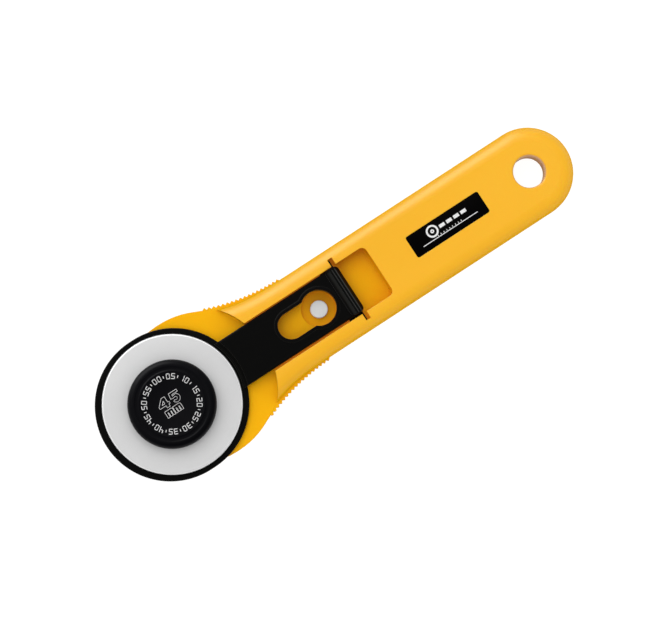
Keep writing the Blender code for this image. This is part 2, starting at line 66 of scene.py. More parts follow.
MM = 0.001
BLADE_LOW, BLADE_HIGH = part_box("blade")
NUT_LOW, NUT_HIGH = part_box("nut_knob")
PLATE_LOW, PLATE_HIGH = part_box("name_plate")
RIVET_LOW, RIVET_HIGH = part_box("handle_rivet")
BOLT_X = (BLADE_LOW.x + BLADE_HIGH.x) / 2
RIVET_X = (RIVET_LOW.x + RIVET_HIGH.x) / 2

# Camera: it stands DISTANCE above the point OVER and looks at the point AIM, both at PLANE_Z
VIEW_TURN = math.radians(-33.20)
PLANE_Z = 0.00745
VIEW_WIDTH = 0.2095
AIM = Vector((-0.00575, -0.00344, 0.0))
OVER = Vector((-0.0580, -0.0400, 0.0))
DISTANCE = 0.98
SENSOR = 36.0

# Studio: each light's place is across and up as the camera sees it, then its height
LIGHT_SIZE = 1.5
KEY_PLACE, KEY_POWER = (-0.42, 0.58, 1.45), 8.5
SHEEN_PLACE, SHEEN_POWER = (-0.92, 1.25, 0.80), 31.0
WALLS_LIGHT = 0.84
WALLS_MIRROR = 0.30
SCREEN_SIDE = Vector((0.55, -0.83, 0.0))
SCREEN_EDGE = (-0.1, 0.5)
FLOOR_HALF = 3.0
FLOOR_GAP = 0.0002
FLOOR_GLOW = 0.93


# ---------------------------------------------------------------- node helpers
class Nodes:
    """Builds one material's node tree."""

    def __init__(self, name):
        self.mat = bpy.data.materials.new(name)
        self.mat.use_nodes = True
        self.tree = self.mat.node_tree
        self.shader = self.tree.nodes["Principled BSDF"]
        self.coords = self.add("ShaderNodeTexCoord").outputs["Object"]

    def add(self, kind, **values):
        node = self.tree.nodes.new(kind)
        for key, value in values.items():
            setattr(node, key, value)
        return node

    def link(self, out, socket):
        self.tree.links.new(out, socket)

    def feed(self, socket, value):
        """Links the socket to a node's output, or gives it a value of its own."""
        if isinstance(value, bpy.types.NodeSocket):
            self.link(value, socket)
        else:
            socket.default_value = value

    def put(self, node, values):
        for key, value in values.items():
            self.feed(node.inputs[key], value)

    def set(self, **values):
        self.put(self.shader, {key.replace("_", " "): value for key, value in values.items()})

    def axes(self):
        """The object's own X, Y and Z."""
        split = self.add("ShaderNodeSeparateXYZ")
        self.link(self.coords, split.inputs["Vector"])
        return split.outputs["X"], split.outputs["Y"], split.outputs["Z"]

    def noise(self, scale, detail=3.0, rough=0.5, vector=None):
        node = self.add("ShaderNodeTexNoise")
        self.put(node, {"Vector": vector or self.coords, "Scale": scale, "Detail": detail,
                        "Roughness": rough})
        return node.outputs["Fac"]

    def stretched(self, scale):
        node = self.add("ShaderNodeMapping")
        self.put(node, {"Vector": self.coords, "Scale": scale})
        return node.outputs["Vector"]

    def ramp(self, fac, stops):
        node = self.add("ShaderNodeValToRGB")
        elements = node.color_ramp.elements
        while len(elements) < len(stops):
            elements.new(0.5)
        for element, (at, colour) in zip(elements, stops):
            element.position = at
            element.color = (*colour, 1.0)
        self.link(fac, node.inputs["Fac"])
        return node.outputs["Color"]

    def span(self, fac, low, high, from_low=0.0, from_high=1.0):
        """Carries from_low..from_high over to low..high, and stops at both ends."""
        node = self.add("ShaderNodeMapRange")
        self.put(node, {"Value": fac, "From Min": from_low, "From Max": from_high,
                        "To Min": low, "To Max": high})
        return node.outputs["Result"]

    def rise(self, value, low, high):
        """0 up to low, 1 from high on."""
        return self.span(value, 0.0, 1.0, low, high)

    def fall(self, value, low, high):
        """1 up to low, 0 from high on."""
        return self.span(value, 1.0, 0.0, low, high)

    def mix(self, fac, a, b):
        node = self.add("ShaderNodeMix", data_type="RGBA")
        for key, value in (("Factor", fac), ("A", a), ("B", b)):
            kind = "NodeSocketFloatFactor" if key == "Factor" else "NodeSocketColor"
            socket = next(s for s in node.inputs if s.name == key and s.bl_idname == kind)
            self.feed(socket, (*value, 1.0) if isinstance(value, tuple) else value)
        return next(s for s in node.outputs if s.bl_idname == "NodeSocketColor")

    def math(self, operation, a, b=0.0):
        node = self.add("ShaderNodeMath", operation=operation)
        for socket, value in zip(node.inputs, (a, b)):
            self.feed(socket, value)
        return node.outputs["Value"]

    def every(self, *masks):
        """The product of the masks, 1 only where all of them are 1."""
        product = masks[0]
        for mask in masks[1:]:
            product = self.math("MULTIPLY", product, mask)
        return product

    def hidden(self, reach):
        """1 deep in a narrow gap, 0 out in the open."""
        shade = self.add("ShaderNodeAmbientOcclusion", samples=4)
        shade.inputs["Distance"].default_value = reach
        return self.math("SUBTRACT", 1.0, shade.outputs["AO"])

    def upright(self, low, high):
        """1 on faces that stand upright, 0 on faces that look up or down."""
        geometry = self.add("ShaderNodeNewGeometry")
        split = self.add("ShaderNodeSeparateXYZ")
        self.link(geometry.outputs["Normal"], split.inputs["Vector"])
        return self.fall(self.math("ABSOLUTE", split.outputs["Z"]), low, high)

    def rounded(self, radius):
        """The normal as if every edge were rounded by the radius."""
        bevel = self.add("ShaderNodeBevel", samples=4)
        bevel.inputs["Radius"].default_value = radius
        return bevel.outputs["Normal"]

    def edges(self, radius):
        """1 on a worn outer edge, 0 on a flat: how far the rounded normal leans from the true one."""
        geometry = self.add("ShaderNodeNewGeometry")
        dot = self.add("ShaderNodeVectorMath", operation="DOT_PRODUCT")
        self.link(self.rounded(radius), dot.inputs[0])
        self.link(geometry.outputs["Normal"], dot.inputs[1])
        return self.fall(dot.outputs["Value"], 0.75, 1.0)

    def bump(self, height, strength, distance, rounding=None):
        node = self.add("ShaderNodeBump")
        self.put(node, {"Height": height, "Strength": strength, "Distance": distance})
        if rounding:
            self.link(self.rounded(rounding), node.inputs["Normal"])
        self.link(node.outputs["Normal"], self.shader.inputs["Normal"])


# ---------------------------------------------------------------- plastics
# How far a face's normal points up or down: up to the first it is a wall, from the second on level
WALL_LEAN = (0.15, 0.9)
DULL_WALL_LEAN = (0.40, 0.74)
BORE_LEAN = (0.3, 0.9)

YELLOW_DEEP = (0.90, 0.450, 0.003)
YELLOW_LIGHT = (0.93, 0.470, 0.006)
YELLOW_WORN = (0.93, 0.475, 0.006)
# Painted shade for the faces below the handle's front
YELLOW_LOW_PAINTED_SHADE = (0.92, 0.455, 0.003)
# Painted shade for upright walls and steep fillets
YELLOW_WALL_PAINTED_SHADE = (0.66, 0.330, 0.001)
# Painted shade for the deep spots of the hollows, then painted bounce light for their walls
HOLLOW_PAINTED_SHADE = (0.60, 0.225, 0.004)
HOLLOW_WALL_PAINTED_BOUNCE = (0.95, 0.410, 0.004)
# Painted glow given off by narrow gaps in the hollows
GAP_PAINTED_GLOW = (1.0, 0.27, 0.02)
# Painted light at the mouth of the hanging hole, and painted shade toward its bottom
BORE_MOUTH_PAINTED_LIGHT = (0.74, 0.46, 0.25)
BORE_DEPTH_PAINTED_SHADE = (0.30, 0.150, 0.05)

# Between these heights the low paddle's look gives way to that of the handle's front
PADDLE_Z, FRONT_Z = 0.0066, 0.0090
PADDLE_SHINE, FRONT_SHINE = 0.05, 0.40

# The channel and the thumb pocket: where each side's soft border starts and ends
HOLLOW_FRONT = (-0.0300, -0.0290)
HOLLOW_REAR = (0.0164, 0.0168)
HOLLOW_SIDE = (0.0112, 0.0116)
HOLLOW_FLOOR = (0.0030, 0.0036)

# The hanging hole: its middle, its wall's soft border, and the heights over which its painted shade
# runs
BORE_X = 0.07315
BORE_WALL = (0.0054, 0.0060)
BORE_PAINTED_SHADE_Z = (0.0, 0.0085)

# The guard's thumb rib, and the painted highlights on it front to rear: a broad soft one, then two
# thin ones on the ridges
RIB_X = (0.00015, 0.00515)
RIB_SIDE = (0.0076, 0.0082)
RIB_Z = (0.0092, 0.0094)
RIB_PAINTED_HIGHLIGHTS = (
    (0.00, 0.002, 0.002), (0.06, 0.006, 0.006), (0.12, 0.002, 0.002), (0.20, 0.011, 0.010),
    (0.36, 0.013, 0.012), (0.42, 0.001, 0.001), (0.50, 0.002, 0.002), (0.54, 0.048, 0.046),
    (0.58, 0.002, 0.002), (0.69, 0.002, 0.002), (0.73, 0.066, 0.063), (0.77, 0.001, 0.001),
)


def spark(n):
    """The fine texture that the mould leaves."""
    return n.noise(2600.0, 4.0, 0.6)


def drifting(n, deep, light):
    """The plastic's own colour, drifting slowly between two tones."""
    return n.ramp(n.noise(22.0, 2.0), [(0.35, deep), (0.65, light)])


def edge_wear_and_highlight(n, colour, worn, rounding):
    """Edges turned to another tone, unevenly: wear on the nut and the handle, a painted highlight on
    the black guard.
    """
    mask = n.every(n.edges(rounding * 1.3), n.span(n.noise(900.0), 0.5, 1.0))
    return n.mix(mask, colour, worn)


def satin(n, fine, roughness, rounding):
    """The surface that all the plastics share: handled patches, fine grain, softened edges."""
    handled = n.noise(60.0, 5.0, 0.65, n.stretched((0.5, 1.6, 1.0)))
    gloss = n.span(n.every(handled, fine), roughness - 0.07, roughness + 0.09, 0.1, 0.42)
    n.set(Roughness=gloss, IOR=1.5)
    n.bump(fine, 0.22, 0.00004, rounding)


def plain_plastic(name, deep, light, roughness, rounding, shine, worn=None):
    """One plastic all over, its edges lightened to the worn tone where one is given."""
    n = Nodes(name)
    fine = spark(n)
    colour = drifting(n, deep, light)
    if worn:
        colour = edge_wear_and_highlight(n, colour, worn, rounding)
    n.set(Base_Color=colour, Specular_IOR_Level=shine)
    satin(n, fine, roughness, rounding)
    return n.mat


def guard_plastic():
    """Black plastic with painted highlights on the ridges of its thumb rib."""
    n = Nodes("black_guard")
    fine = spark(n)
    x, y, z = n.axes()
    within = n.fall(n.math("ABSOLUTE", y), *RIB_SIDE)
    # Painted highlights: bright bands laid on the rib by position along the handle
    tone = n.ramp(n.rise(x, *RIB_X), [(at, (warm, warm, blue)) for at, warm, blue in RIB_PAINTED_HIGHLIGHTS])
    colour = drifting(n, (0.0016, 0.0016, 0.0013), (0.0026, 0.0026, 0.0021))
    colour = n.mix(n.every(within, n.rise(z, *RIB_Z)), colour, tone)
    # Painted highlight: the guard's edges are lightened so they read as thin lit lines
    colour = edge_wear_and_highlight(n, colour, (0.030, 0.029, 0.026), 0.0002)
    n.set(Base_Color=colour, Specular_IOR_Level=0.09)
    satin(n, fine, 0.34, 0.0002)
    return n.mat


def hollow_mask(n):
    """1 inside the channel and the thumb pocket."""
    x, y, z = n.axes()
    return n.every(n.rise(x, *HOLLOW_FRONT), n.fall(x, *HOLLOW_REAR),
                   n.fall(n.math("ABSOLUTE", y), *HOLLOW_SIDE), n.rise(z, *HOLLOW_FLOOR))


def paint_hollow_shade(n, colour, inside):
    """Painted shade and painted bounce light in the hollows: walls get a brighter orange, shut-in
    spots a darker orange, more so toward one side.
    """
    y = n.axes()[1]
    # Painted shade: how shut in a spot is, weighted more toward one side of the channel
    painted_shade_mask = n.every(n.span(n.hidden(0.010), 0.0, 1.0, 0.12, 0.7),
                      n.span(y, 0.3, 1.0, -0.008, 0.008))
    colour = n.mix(n.every(inside, n.upright(*WALL_LEAN)), colour, HOLLOW_WALL_PAINTED_BOUNCE)
    return n.mix(n.every(inside, painted_shade_mask), colour, HOLLOW_PAINTED_SHADE)


def paint_bore_light(n, colour):
    """The wall of the hanging hole gets painted light, paler than the skin at its mouth, and painted
    shade that darkens with depth.
    """
    x, y, z = n.axes()
    flat = n.add("ShaderNodeCombineXYZ")
    n.put(flat, {"X": n.math("SUBTRACT", x, BORE_X), "Y": y})
    length = n.add("ShaderNodeVectorMath", operation="LENGTH")
    n.link(flat.outputs["Vector"], length.inputs[0])
    near = n.fall(length.outputs["Value"], *BORE_WALL)
    wall = n.mix(n.rise(z, *BORE_PAINTED_SHADE_Z), BORE_DEPTH_PAINTED_SHADE, BORE_MOUTH_PAINTED_LIGHT)
    return n.mix(n.every(near, n.upright(*BORE_LEAN)), colour, wall)


def handle_plastic():
    """Yellow plastic, with painted shade on its low faces and walls, painted shade and bounce light
    in its hollows, and a painted glow in its narrow gaps.
    """
    n = Nodes("yellow_handle")
    fine = spark(n)
    colour = drifting(n, YELLOW_DEEP, YELLOW_LIGHT)
    # Faces below the handle's front get a deeper colour, painted shade, and shine less.
    low = n.fall(n.axes()[2], PADDLE_Z, FRONT_Z)
    colour = n.mix(low, colour, YELLOW_LOW_PAINTED_SHADE)
    shine = n.span(low, FRONT_SHINE, PADDLE_SHINE)
    # Upright walls get a darker colour, painted shade toward the silhouettes, and shine less.
    colour = n.mix(n.upright(*WALL_LEAN), colour, YELLOW_WALL_PAINTED_SHADE)
    shine = n.every(shine, n.span(n.upright(*DULL_WALL_LEAN), 1.0, 0.05))
    colour = edge_wear_and_highlight(n, colour, YELLOW_WORN, 0.00025)
    inside = hollow_mask(n)
    colour = paint_bore_light(n, paint_hollow_shade(n, colour, inside))
    # Painted glow: narrow gaps inside the hollows give off orange light as emission
    painted_gap_glow = n.every(inside, n.span(n.hidden(0.0035), 0.0, 0.26, 0.5, 0.95))
    n.set(Base_Color=colour, Specular_IOR_Level=shine, Subsurface_Weight=0.2,
          Subsurface_Radius=(1.0, 0.5, 0.08), Subsurface_Scale=0.0008,
          Emission_Color=(*GAP_PAINTED_GLOW, 1.0), Emission_Strength=painted_gap_glow)
    satin(n, fine, 0.38, 0.00025)
    return n.mat


# ---------------------------------------------------------------- steels
def ring_steel(name, low, high, roughness, axis_x, metal=1.0, **settings):
    """Grey steel ground on a turntable: fine circular scratches about an upright axis."""
    n = Nodes(name)
    x, y, _ = n.axes()
    dx = n.math("SUBTRACT", x, axis_x)
    squares = n.math("ADD", n.math("MULTIPLY", dx, dx), n.math("MULTIPLY", y, y))
    radius = n.math("SQRT", squares)
    around = n.math("ARCTAN2", y, dx)
    polar = n.add("ShaderNodeCombineXYZ")
    n.put(polar, {"X": radius, "Y": n.math("MULTIPLY", around, 0.0012)})
    rings = n.noise(9000.0, 3.0, 0.7, polar.outputs["Vector"])
    cloud = n.noise(70.0, 3.0)
    tone = n.math("ADD", n.math("MULTIPLY", rings, 0.5), n.math("MULTIPLY", cloud, 0.5))
    n.set(Base_Color=n.ramp(tone, [(0.3, low), (0.7, high)]), Metallic=metal,
          Roughness=n.span(rings, roughness - 0.05, roughness + 0.08), **settings)
    n.bump(rings, 0.08, 0.00001)
    return n.mat


def grey(value):
    return (value, value, value)


yellow = handle_plastic()
black = guard_plastic()
navy = plain_plastic("black_nut", (0.0022, 0.0022, 0.0032), (0.0034, 0.0034, 0.0048), 0.36, 0.0002,
                     0.09, worn=(0.012, 0.012, 0.016))
plate_black = plain_plastic("plate_black", (0.0008, 0.0006, 0.0007), (0.0014, 0.0011, 0.0012), 0.5,
                            0.0001, 0.02)
blade_steel = ring_steel("ground_blade", grey(0.63), grey(0.69), 0.50, BOLT_X, metal=0.1,
                         Specular_IOR_Level=0.25)
# Painted highlight: the ground bevel gets a near-white colour so it reads bright all round
bevel_steel_painted_highlight = ring_steel("ground_edge_painted_highlight", grey(0.95), grey(0.99), 0.45, BOLT_X, metal=0.4)
honed_steel = ring_steel("honed_edge", grey(0.16), grey(0.22), 0.30, BOLT_X)
bolt_steel = ring_steel("plated_bolt", (0.50, 0.50, 0.51), (0.64, 0.64, 0.65), 0.30, BOLT_X)
rivet_steel = ring_steel("rivet_steel", grey(0.82), grey(0.88), 0.45, RIVET_X, metal=0.2)

for node, mat in (
    ("handle_body", yellow), ("handle_back_cover", yellow), ("blade_guard", black),
    ("nut_knob", navy), ("name_plate", plate_black), ("blade", blade_steel),
    ("spring_washer", bolt_steel), ("pivot_bolt", bolt_steel), ("nut_insert", bolt_steel),
    ("handle_rivet", rivet_steel),
):
    for slot in NODES[node].material_slots:
        slot.material = mat


# ---------------------------------------------------------------- smooth shading of CAD nodes
WELD = 0.000002
CORNER = math.radians(27.0)


def shading_group():
    """Joins the facets of a CAD mesh and shades them as one surface up to its real corners."""
    tree = bpy.data.node_groups.new("joined_shading", "GeometryNodeTree")
    tree.interface.new_socket("Geometry", in_out="INPUT", socket_type="NodeSocketGeometry")
    tree.interface.new_socket("Geometry", in_out="OUTPUT", socket_type="NodeSocketGeometry")
    entry = tree.nodes.new("NodeGroupInput")
    leave = tree.nodes.new("NodeGroupOutput")
    weld = tree.nodes.new("GeometryNodeMergeByDistance")
    weld.inputs["Distance"].default_value = WELD
    bare = tree.nodes.new("GeometryNodeRemoveAttribute")
    bare.inputs["Name"].default_value = "custom_normal"
    smooth = tree.nodes.new("GeometryNodeSetShadeSmooth")
    corner = tree.nodes.new("GeometryNodeSetShadeSmooth")
    corner.domain = "EDGE"
    corner.inputs["Shade Smooth"].default_value = False
    angle = tree.nodes.new("GeometryNodeInputMeshEdgeAngle")
    steep = tree.nodes.new("FunctionNodeCompare")
    steep.inputs["B"].default_value = CORNER
    tree.links.new(angle.outputs["Unsigned Angle"], steep.inputs["A"])
    tree.links.new(steep.outputs["Result"], corner.inputs["Selection"])
    chain = (entry, weld, bare, smooth, corner, leave)
    for a, b in zip(chain, chain[1:]):
        tree.links.new(a.outputs["Geometry"], b.inputs["Geometry"])
    return tree


joined = shading_group()
for node in ("handle_body", "handle_back_cover", "handle_rivet"):
    NODES[node].modifiers.new("joined_shading", "NODES").node_group = joined
    even = NODES[node].modifiers.new("even_shading", "WEIGHTED_NORMAL")
    even.keep_sharp = True


# ---------------------------------------------------------------- mesh helpers
def piece(name, bm, mat, body, smooth_angle=32.0):
    """Makes a mesh object that rides on a body, smooth up to the angle in degrees."""
    mesh = bpy.data.meshes.new(name)
    bm.to_mesh(mesh)
    bm.free()
    obj = bpy.data.objects.new(name, mesh)
    bpy.context.scene.collection.objects.link(obj)
    mesh.materials.append(mat)
    for poly in mesh.polygons:
        poly.use_smooth = True
    mesh.set_sharp_from_angle(angle=math.radians(smooth_angle))
    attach(obj, body)
    return obj


def lathe(profile, steps, closed=False):
    """A solid of revolution about the bolt axis, from (radius, z) points in millimetres."""
    bm = bmesh.new()
    verts = [bm.verts.new((r * MM, 0.0, z * MM)) for r, z in profile]
    pairs = list(zip(verts, verts[1:]))
    if closed:
        pairs.append((verts[-1], verts[0]))
    edges = [bm.edges.new(pair) for pair in pairs]
    bmesh.ops.spin(bm, geom=verts + edges, cent=(0, 0, 0), axis=(0, 0, 1), angle=math.tau,
                   steps=steps, use_merge=True)
    bmesh.ops.remove_doubles(bm, verts=bm.verts, dist=1e-7)
    bmesh.ops.recalc_face_normals(bm, faces=bm.faces)
    bmesh.ops.translate(bm, verts=bm.verts, vec=(BOLT_X, 0.0, 0.0))
    return bm


def arc(cx, cy, radius, start, end, steps):
    """Points along an arc from start to end, in degrees."""
    turn = [math.radians(start + (end - start) * i / steps) for i in range(steps + 1)]
    return [(cx + radius * math.cos(a), cy + radius * math.sin(a)) for a in turn]


# ---------------------------------------------------------------- detailed pieces
def fine_blade():
    """The round blade: flat ground sides, a ground bevel and a fine honed edge."""
    top = BLADE_HIGH.z / MM
    low = BLADE_LOW.z / MM
    mid = (top + low) / 2
    outer = (BLADE_HIGH.x - BLADE_LOW.x) / 2 / MM
    hole = 4.0
    chamfer = 0.05
    flat = outer - 0.62
    bevel = outer - 0.56
    bevel_drop = 0.012
    hone = outer - 0.16
    hone_half = 0.045
    profile = [(hole + chamfer, top), (flat, top), (bevel, top - bevel_drop)]
    profile += [(hone, mid + hone_half), (outer, mid), (hone, mid - hone_half)]
    profile += [(bevel, low + bevel_drop), (flat, low)]
    profile += [(hole + chamfer, low), (hole, low + chamfer), (hole, top - chamfer)]
    obj = piece("blade_ground", lathe(profile, 256, closed=True), blade_steel, "blade", 12.0)
    obj.data.materials.append(bevel_steel_painted_highlight)
    obj.data.materials.append(honed_steel)
    ground = (outer - 0.6) * MM
    honed = (outer - 0.3) * MM
    for poly in obj.data.polygons:
        reach = min(math.hypot(obj.data.vertices[v].co.x - BOLT_X, obj.data.vertices[v].co.y)
                    for v in poly.vertices)
        poly.material_index = int(reach > ground) + int(reach > honed)
    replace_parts(obj, "blade")


def fine_nut():
    """The knob: a faintly dished face, a stepped ring near the rim and a soft outer edge."""
    top = NUT_HIGH.z / MM
    bottom = NUT_LOW.z / MM
    outer = (NUT_HIGH.x - NUT_LOW.x) / 2 / MM
    shoulder = 2.0
    skirt = 10.6
    bore, bore_top, underside = 5.5, 12.0, 9.2
    profile = [(0.0, top - 0.06), (10.1, top - 0.06), (10.25, top - 0.01), (10.45, top)]
    profile += [(10.6, top - 0.04), (10.75, top - 0.16), (10.95, top - 0.2), (11.6, top - 0.2)]
    profile += [(11.8, top - 0.16), (12.0, top - 0.06), (12.2, top - 0.06)]
    profile += arc(outer - shoulder, top - 0.06 - shoulder, shoulder, 88, 0, 14)
    profile += [(outer, bottom + 0.6), (outer - 0.12, bottom + 0.22), (outer - 0.4, bottom)]
    profile += [(skirt + 0.15, bottom), (skirt, bottom + 0.15), (skirt, underside)]
    profile += [(bore, underside), (bore, bore_top), (0.0, bore_top)]
    obj = piece("nut_knob_fine", lathe(profile, 160), navy, "nut", 24.0)
    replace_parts(obj, "nut_knob")


PLATE_X = (PLATE_LOW.x + PLATE_HIGH.x) / 2 / MM
PLATE_Y = (PLATE_LOW.y + PLATE_HIGH.y) / 2 / MM


def fine_plate():
    """The plate, filling its recess but for a hairline, with softened edges."""
    grow = 0.27
    corner = 0.6
    half_x = (PLATE_HIGH.x - PLATE_LOW.x) / 2 / MM + grow - corner
    half_y = (PLATE_HIGH.y - PLATE_LOW.y) / 2 / MM + grow - corner
    points = []
    for i, (sx, sy) in enumerate(((1, 1), (-1, 1), (-1, -1), (1, -1))):
        points += arc(PLATE_X + sx * half_x, PLATE_Y + sy * half_y, corner, 90 * i, 90 * i + 90, 8)
    bm = bmesh.new()
    verts = [bm.verts.new((x * MM, y * MM, PLATE_LOW.z)) for x, y in points]
    loop = [bm.edges.new(pair) for pair in zip(verts, verts[1:] + verts[:1])]
    face = bmesh.ops.edgenet_fill(bm, edges=loop)["faces"][0]
    raised = bmesh.ops.extrude_face_region(bm, geom=[face])["geom"]
    tops = [v for v in raised if isinstance(v, bmesh.types.BMVert)]
    lid = [f for f in raised if isinstance(f, bmesh.types.BMFace)][0]
    bmesh.ops.translate(bm, verts=tops, vec=(0.0, 0.0, PLATE_HIGH.z - PLATE_LOW.z))
    bmesh.ops.bevel(bm, geom=list(lid.edges), offset=0.08 * MM, segments=2, profile=0.5,
                    affect="EDGES")
    bmesh.ops.recalc_face_normals(bm, faces=bm.faces)
    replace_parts(piece("name_plate_fine", bm, plate_black, "handle"), "name_plate")


# ---------------------------------------------------------------- printed marks
INK_THICK = 0.02
NUT_PRINT_Z = NUT_HIGH.z / MM - 0.065
PLATE_PRINT_Z = PLATE_HIGH.z / MM - 0.005


def ink(name, colour):
    """Slightly patchy screen-printed ink."""
    n = Nodes(name)
    patch = n.noise(1500.0, 3.0, 0.7)
    faint = tuple(c * 0.72 for c in colour)
    n.set(Base_Color=n.ramp(patch, [(0.30, faint), (0.55, colour)]),
          Roughness=n.span(patch, 0.4, 0.6), Specular_IOR_Level=0.3)
    return n.mat


white_ink = ink("white_ink", grey(0.80))


def flat_shape(bm, points, z):
    """Adds a thin printed shape that stands on z, from an outline in millimetres."""
    verts = [bm.verts.new((x * MM, y * MM, z * MM)) for x, y in points]
    face = bmesh.ops.contextual_create(bm, geom=verts)["faces"][0]
    raised = bmesh.ops.extrude_face_region(bm, geom=[face])["geom"]
    tops = [v for v in raised if isinstance(v, bmesh.types.BMVert)]
    bmesh.ops.translate(bm, verts=tops, vec=(0.0, 0.0, INK_THICK * MM))


def ring_shape(bm, cx, cy, radius, width, z, steps):
    """A printed ring, as short joined strips."""
    inner, outer = radius - width / 2, radius + width / 2
    for i in range(steps):
        a, b = math.tau * i / steps, math.tau * (i + 1) / steps
        corners = ((a, inner), (b, inner), (b, outer), (a, outer))
        flat_shape(bm, [(cx + r * math.cos(t), cy + r * math.sin(t)) for t, r in corners], z)


def bar_shape(bm, cx, cy, length, width, angle, z):
    """A printed bar whose length points along the angle."""
    c, s = math.cos(angle), math.sin(angle)
    half, side = length / 2, width / 2
    corners = ((-half, -side), (half, -side), (half, side), (-half, side))
    flat_shape(bm, [(cx + u * c - v * s, cy + u * s + v * c) for u, v in corners], z)


def outline_shape(bm, points, width, z):
    """A printed line round a closed outline."""
    for (ax, ay), (bx, by) in zip(points, points[1:] + points[:1]):
        length = math.hypot(bx - ax, by - ay) + width * 0.9
        bar_shape(bm, (ax + bx) / 2, (ay + by) / 2, length, width, math.atan2(by - ay, bx - ax), z)


# The dial on the nut: numbers on a ring, each of two digits, with a tick between numbers
DIAL_NUMBERS = 12
DIAL_COUNT_BY = 5
DIAL_RADIUS = 8.8
DIAL_START = math.radians(90)
DIGIT_WIDE = 0.95
DIGIT_TALL = 1.6
DIGIT_LINE = 0.23
DIGIT_STEP = 0.185  # radians between the two digits of a number
TICK_LONG, TICK_WIDE = 0.8, 0.22

# A digit's bars, each as middle across, middle up, and whether it lies level: top, upper right,
# lower right, bottom, lower left, upper left, middle
HALF_WIDE, HALF_TALL = DIGIT_WIDE / 2, DIGIT_TALL / 2
BARS = (
    (0.0, HALF_TALL, True), (HALF_WIDE, HALF_TALL / 2, False), (HALF_WIDE, -HALF_TALL / 2, False),
    (0.0, -HALF_TALL, True), (-HALF_WIDE, -HALF_TALL / 2, False), (-HALF_WIDE, HALF_TALL / 2, False),
    (0.0, 0.0, True),
)
# The bars that draw each digit of the dial
DIGITS = {
    "0": (0, 1, 2, 3, 4, 5), "1": (1, 2), "2": (0, 1, 6, 4, 3), "3": (0, 1, 6, 2, 3),
    "4": (5, 6, 1, 2), "5": (0, 5, 6, 2, 3),
}

# The blade's size in outlined figures, each drawn from its own lower left corner
FIGURE_LINE = 0.13
FOUR = [(2.3, 0.1), (3.35, 0.1), (3.35, 0.9), (3.85, 0.9), (3.85, 1.6), (3.35, 1.6),
        (3.35, 3.65), (2.15, 3.65), (0.1, 1.6), (0.1, 0.9), (2.3, 0.9)]
FOUR_EYE = [(2.3, 1.6), (2.3, 2.65), (1.3, 1.6)]
FIVE = [(0.7, 3.65), (3.6, 3.65), (3.6, 2.85), (1.5, 2.85), (1.4, 2.35)]
FIVE += arc(2.1, 1.3, 1.35, 70, -155, 14)
FIVE += [(1.45, 1.0)] + arc(2.0, 1.3, 0.5, -120, 90, 7) + [(1.2, 1.65), (0.4, 1.8)]
LETTER_M = [(0.0, 0.1), (0.0, 2.4), (2.45, 2.4), (2.8, 2.1), (2.8, 0.1), (2.02, 0.1), (2.02, 1.6),
            (1.8, 1.6), (1.8, 0.1), (1.0, 0.1), (1.0, 1.6), (0.78, 1.6), (0.78, 0.1)]
FIGURES_Y, LETTERS_Y = -0.4, -3.35
# Each shape with the place of its lower left corner, from the middle of the nut
FIGURES = (
    (FOUR, -4.15, FIGURES_Y), (FOUR_EYE, -4.15, FIGURES_Y), (FIVE, 0.05, FIGURES_Y),
    (LETTER_M, -3.4, LETTERS_Y), (LETTER_M, -0.4, LETTERS_Y),
)


def dial_digit(bm, centre, turn, digit):
    """One digit standing on the ring, its top pointing away from the middle."""
    out = (math.cos(turn), math.sin(turn))
    along = (out[1], -out[0])
    for bar in DIGITS[digit]:
        u, v, level = BARS[bar]
        x = centre + (DIAL_RADIUS + v) * out[0] + u * along[0]
        y = (DIAL_RADIUS + v) * out[1] + u * along[1]
        length = (DIGIT_WIDE if level else HALF_TALL) + DIGIT_LINE * 0.9
        angle = turn + math.pi / 2 if level else turn
        bar_shape(bm, x, y, length, DIGIT_LINE, angle, NUT_PRINT_Z)


def nut_marks():
    """A dial of numbers with ticks between them, and the blade size in outlined figures."""
    centre = BOLT_X / MM
    step = math.tau / DIAL_NUMBERS
    bm = bmesh.new()
    for i in range(DIAL_NUMBERS):
        for k, digit in enumerate(f"{i * DIAL_COUNT_BY:02d}"):
            dial_digit(bm, centre, DIAL_START - i * step - (k - 0.5) * DIGIT_STEP, digit)
        turn = DIAL_START - (i + 0.5) * step
        bar_shape(bm, centre + DIAL_RADIUS * math.cos(turn), DIAL_RADIUS * math.sin(turn),
                  TICK_LONG, TICK_WIDE, turn, NUT_PRINT_Z)
    bmesh.ops.recalc_face_normals(bm, faces=bm.faces)
    piece("nut_scale_print", bm, white_ink, "nut")
    bm = bmesh.new()
    for shape, x, y in FIGURES:
        outline_shape(bm, [(centre + x + u, y + v) for u, v in shape], FIGURE_LINE, NUT_PRINT_Z)
    bmesh.ops.recalc_face_normals(bm, faces=bm.faces)
    piece("nut_size_print", bm, white_ink, "nut")


# The picture on the plate. A ring is its radius, line width and strips; a bar its length and width.
WHEEL_X, LINE_Y = PLATE_X - 5.3, PLATE_Y + 0.9
WHEEL_RIM, WHEEL_HUB = (1.75, 0.6, 48), (0.42, 0.45, 24)
DASH, DASHES, DASH_START, DASH_STEP = (2.0, 1.1), 4, PLATE_X - 1.6, 2.7
RULE, RULE_Y = (20.6, 0.24), PLATE_Y - 1.75
NOTCH, NOTCHES, NOTCH_STEP, NOTCH_Y = (0.5, 0.2), 9, 1.1, PLATE_Y - 1.25


